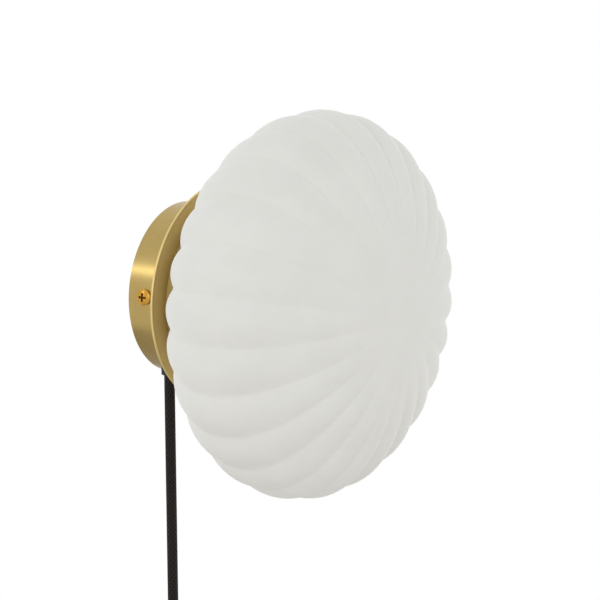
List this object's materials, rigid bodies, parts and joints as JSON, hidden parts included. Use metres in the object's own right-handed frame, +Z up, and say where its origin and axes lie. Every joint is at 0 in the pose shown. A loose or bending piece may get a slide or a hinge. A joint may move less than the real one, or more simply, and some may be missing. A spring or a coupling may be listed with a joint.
{
  "type": "shell wall sconce",
  "caption": "Wall light with a ribbed opal glass shade on a round brass drum and dish, and a braided cord with switch and plug.",
  "frame": {"origin": "Centre of the drum's back, on the wall plane.", "axes": "The wall is the plane y = 0 and the lamp stands out along -Y. +Z is up and +X is to the right of someone who faces the wall."},
  "size_m": [0.22, 0.1532, 0.5614],
  "materials": {
    "zinc_steel": "satin",
    "satin_brass": "satin",
    "gold_screw": "satin",
    "white_plastic": "matte",
    "white_ceramic": "gloss",
    "plain_brass": "satin",
    "black_plastic": "satin",
    "nickel_cap": "satin",
    "bulb_glass": "satin",
    "clear_rubber": "matte",
    "opal_glass": "satin",
    "black_rubber": "matte",
    "brown_sleeve": "matte",
    "blue_sleeve": "matte",
    "black_braid": "matte"
  },
  "bodies": {
    "base": {"wall_plate": "zinc_steel", "canopy_drum": "satin_brass", "side_screws": "gold_screw", "holder_dish": "satin_brass", "thread_ring": "satin_brass", "ring_screws": "zinc_steel", "threaded_nipple": "zinc_steel", "nipple_nut": "zinc_steel", "lock_washer": "zinc_steel", "lampholder_cap": "white_plastic", "lampholder_core": "white_ceramic", "lampholder_sleeve": "white_plastic", "screw_shell": "plain_brass", "centre_contact": "plain_brass", "cord_bush": "black_rubber", "clamp_base": "black_plastic", "clamp_bridge": "black_plastic", "clamp_screws": "zinc_steel", "terminal_block": "white_plastic", "terminal_screws": "zinc_steel", "supply_live": "brown_sleeve", "supply_neutral": "blue_sleeve", "lamp_live": "brown_sleeve", "lamp_neutral": "blue_sleeve", "switch_back": "black_plastic", "switch_front": "black_plastic", "rocker_pin": "zinc_steel", "switch_screws": "zinc_steel", "cord_drop": "black_braid", "cord_link": "black_braid", "cord_coil": "black_braid", "coil_tie": "black_rubber", "cord_tail": "black_braid", "plug_relief": "black_rubber", "plug_body": "black_rubber", "plug_pins": "nickel_cap"},
    "shade_carriage": {"neck_gasket": "clear_rubber"},
    "shade": {"glass_shade": "opal_glass"},
    "bulb_carriage": {"bulb_tip": "zinc_steel"},
    "bulb": {"bulb_insulator": "black_plastic", "bulb_cap": "nickel_cap", "bulb_collar": "white_plastic", "bulb_globe": "bulb_glass"},
    "rocker": {"switch_rocker": "black_plastic"}
  },
  "joints": [
    {"name": "shade_travel", "type": "slide", "parent": "base", "child": "shade_carriage", "axis": [0, -1, 0], "range_m": [0, 0.0081]},
    {"name": "shade_turn", "type": "hinge", "parent": "shade_carriage", "child": "shade", "pos_m": [0, 0, 0], "axis": [0, -1, 0], "range_deg": [0, 720]},
    {"name": "bulb_travel", "type": "slide", "parent": "base", "child": "bulb_carriage", "axis": [0, -1, 0], "range_m": [0, 0.0182]},
    {"name": "bulb_turn", "type": "hinge", "parent": "bulb_carriage", "child": "bulb", "pos_m": [0, 0, 0], "axis": [0, -1, 0], "range_deg": [0, 1800]},
    {"name": "switch_rock", "type": "hinge", "parent": "base", "child": "rocker", "pos_m": [-0.0247, -0.0122, -0.218], "axis": [1, 0, 0], "range_deg": [-16, 0]}
  ],
  "couplings": [
    {"joint": "shade_travel", "follows": "shade_turn", "m_per_rad": 0.00063662},
    {"joint": "bulb_travel", "follows": "bulb_turn", "m_per_rad": 0.00057773}
  ]
}
